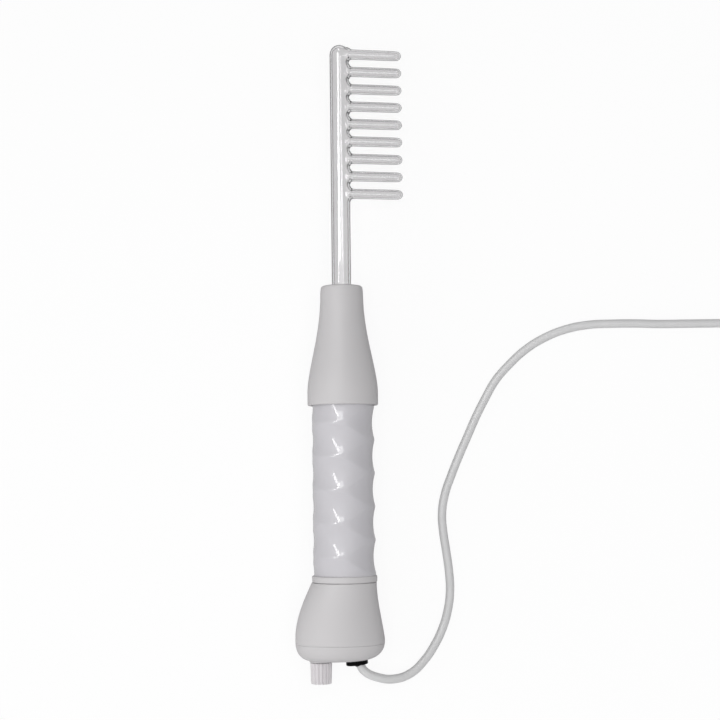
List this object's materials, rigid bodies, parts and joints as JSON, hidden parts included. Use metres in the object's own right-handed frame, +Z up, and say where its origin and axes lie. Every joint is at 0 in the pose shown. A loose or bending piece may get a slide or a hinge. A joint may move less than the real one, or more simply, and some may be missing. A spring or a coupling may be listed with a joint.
{
  "type": "violet ray machine",
  "caption": "Hand-held high-frequency wand with a glass comb electrode, a grip with finger grooves, a rounded base with an intensity knob, and a mains cord with a two-pin plug.",
  "frame": {"origin": "centre of the wand's footprint on the table it lies on, without its cord", "axes": "+Y along the wand from the base to the glass comb, +Z up from the table, +X towards the tips of the comb"},
  "size_m": [0.3498, 0.3738, 0.041],
  "materials": {
    "clear_glass": "clear, polished",
    "shell_white": "semi-gloss warm white",
    "grip_white": "glossy cool white",
    "bright_metal": "bright nickel",
    "steel": "plain steel",
    "brass": "turned brass",
    "winding": "varnished wire and paper",
    "insulator": "plain ivory",
    "fibre_board": "brown fibre board",
    "capacitor_case": "dipped amber",
    "black_rubber": "matt black",
    "black_plastic": "satin black",
    "red_wire": "satin",
    "cord_grey": "satin light grey"
  },
  "bodies": {
    "wand": {"nose_cone": "shell_white", "socket_tube": "insulator", "socket_contact": "brass", "grip_sleeve": "grip_white", "resonator_former": "insulator", "resonator_secondary": "winding", "resonator_primary": "winding", "base_collar": "shell_white", "base_housing": "shell_white", "base_end_cap": "shell_white", "cap_screws": "steel", "chassis_frame": "fibre_board", "chassis_screws": "steel", "magnet_core": "steel", "core_nut": "steel", "magnet_bobbin": "insulator", "magnet_winding": "winding", "reed_post": "fibre_board", "post_screw": "steel", "knob_bush": "shell_white", "bush_nut": "steel", "bush_set_screw": "steel", "capacitor": "capacitor_case", "terminal_block": "insulator", "terminal_screws": "steel", "hookup_wires": "red_wire", "strain_relief": "black_plastic", "relief_nut": "black_plastic", "cord_lead": "cord_grey", "cord_coil": "cord_grey", "cord_tail": "cord_grey", "cord_tie": "black_plastic", "plug_body": "cord_grey", "plug_pins": "bright_metal"},
    "ring": {"electrode_grip_ring": "black_rubber"},
    "electrode": {"electrode_glass": "clear_glass", "electrode_ferrule": "bright_metal", "lead_in_wire": "steel"},
    "knob": {"intensity_knob": "shell_white"},
    "screw": {"adjusting_screw": "brass"},
    "reed": {"vibrator_reed": "steel", "reed_armature": "steel", "reed_contact": "bright_metal"}
  },
  "joints": [
    {"name": "electrode_twist", "type": "hinge", "parent": "wand", "child": "ring", "pos_m": [-0.00404, 0.03785, 0.0205], "axis": [0, -1, 0], "continuous": true},
    {"name": "electrode_pull", "type": "slide", "parent": "ring", "child": "electrode", "axis": [0, 1, 0], "range_m": [0, 0.045]},
    {"name": "knob_turn", "type": "hinge", "parent": "wand", "child": "knob", "pos_m": [-0.01804, -0.17325, 0.0205], "axis": [0, -1, 0], "range_deg": [0, 300]},
    {"name": "screw_retract", "type": "slide", "parent": "knob", "child": "screw", "axis": [0, -1, 0], "range_m": [0, 0.00058]},
    {"name": "reed_flex", "type": "hinge", "parent": "wand", "child": "reed", "pos_m": [0.00876, -0.15785, 0.0205], "axis": [0, 0, -1], "range_deg": [0, 1.5], "stiffness_Nm_per_rad": 0.5}
  ],
  "couplings": [
    {"joint": "knob_turn", "follows": "screw_retract", "rad_per_m": 8976}
  ]
}
